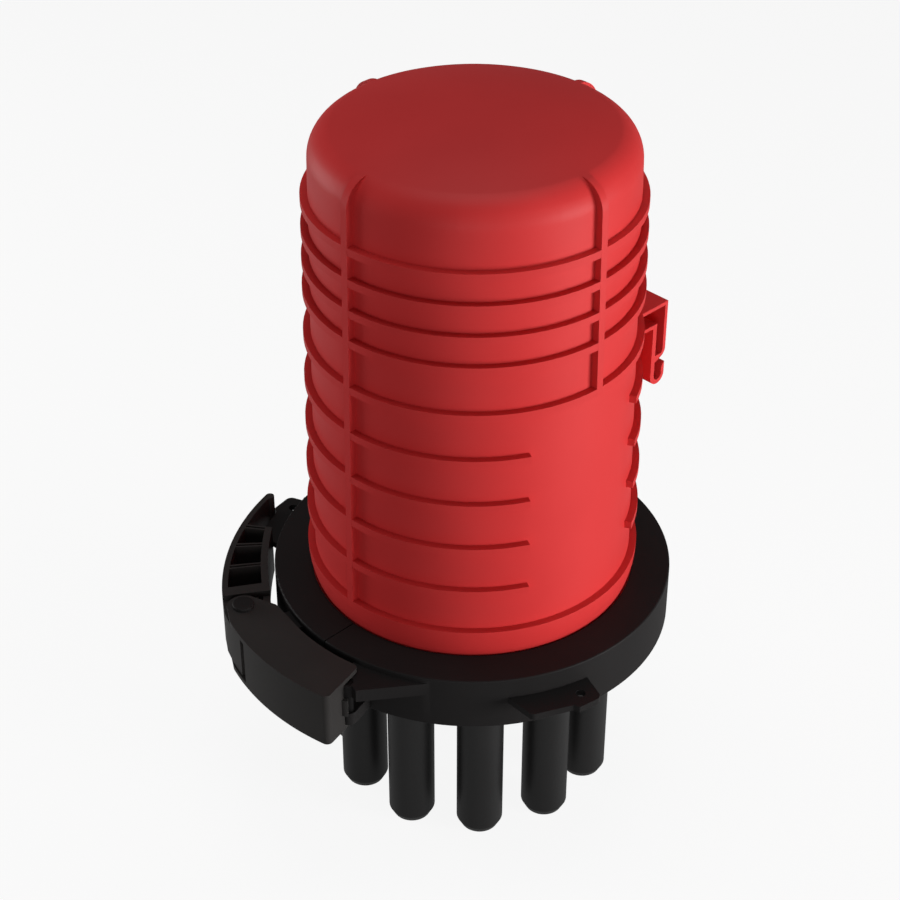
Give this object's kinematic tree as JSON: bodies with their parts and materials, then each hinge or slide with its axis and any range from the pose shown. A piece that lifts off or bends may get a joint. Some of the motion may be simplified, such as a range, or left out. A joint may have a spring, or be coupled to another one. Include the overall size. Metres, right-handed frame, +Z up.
{
  "type": "dome fibre splice closure",
  "caption": "Upright dome closure for fibre splices: ribbed red cover, black base with closed cable ports, hinged clamp ring with an over-centre latch, splice trays inside.",
  "frame": {"origin": "on the dome axis, in the plane of the closed ends of the cable ports", "axes": "+Z up the dome; the front of the picture is -Y, its right is +X"},
  "size_m": [0.225, 0.2102, 0.3719],
  "materials": {
    "red_plastic": "satin",
    "black_plastic": "satin",
    "clamp_plastic": "satin",
    "latch_plastic": "satin",
    "seal_rubber": "matte",
    "steel": "satin",
    "carrier_plastic": "satin",
    "tray_plastic": "satin",
    "comb_plastic": "satin",
    "sleeve_plastic": "gloss",
    "cover_plastic": "clear",
    "strap_fabric": "woven"
  },
  "bodies": {
    "closure": {"base_body": "black_plastic", "dome_cover": "red_plastic", "sealing_ring": "seal_rubber", "clamp_half_rear": "clamp_plastic", "clamp_hinge_pin": "steel", "fulcrum_pin": "steel", "tray_carrier": "carrier_plastic", "tray_hinge_rods": "steel", "carrier_screws": "steel", "splice_tray_1": "tray_plastic", "splice_tray_2": "tray_plastic", "splice_tray_3": "tray_plastic", "splice_tray_4": "tray_plastic", "splice_combs": "comb_plastic", "splice_sleeves": "sleeve_plastic", "tray_cover": "cover_plastic", "slack_basket": "tray_plastic", "tray_strap": "strap_fabric", "member_clamps": "steel", "clamp_screws": "steel"},
    "clamp_front": {"clamp_half_front": "clamp_plastic", "catch_pin": "steel"},
    "lever": {"latch_lever": "latch_plastic"},
    "block": {"latch_block": "latch_plastic", "block_pin": "latch_plastic", "pin_clip": "steel"}
  },
  "joints": [
    {"name": "clamp_swing", "type": "hinge", "parent": "closure", "child": "clamp_front", "pos_m": [0.07739, 0.07605, 0.1116], "axis": [0, 0, 1], "range_deg": [0, 20]},
    {"name": "lever_swing", "type": "hinge", "parent": "closure", "child": "lever", "pos_m": [-0.101, -0.0564, 0.1107], "axis": [0, 0, 1], "range_deg": [0, 50]},
    {"name": "block_swing", "type": "hinge", "parent": "lever", "child": "block", "pos_m": [-0.1125, -0.0435, 0.1107], "axis": [0, 0, 1], "range_deg": [-88, 0]}
  ],
  "couplings": [
    {"joint": "lever_swing", "follows": "clamp_swing", "ratio": 2.5},
    {"joint": "block_swing", "follows": "clamp_swing", "ratio": -4.4}
  ]
}
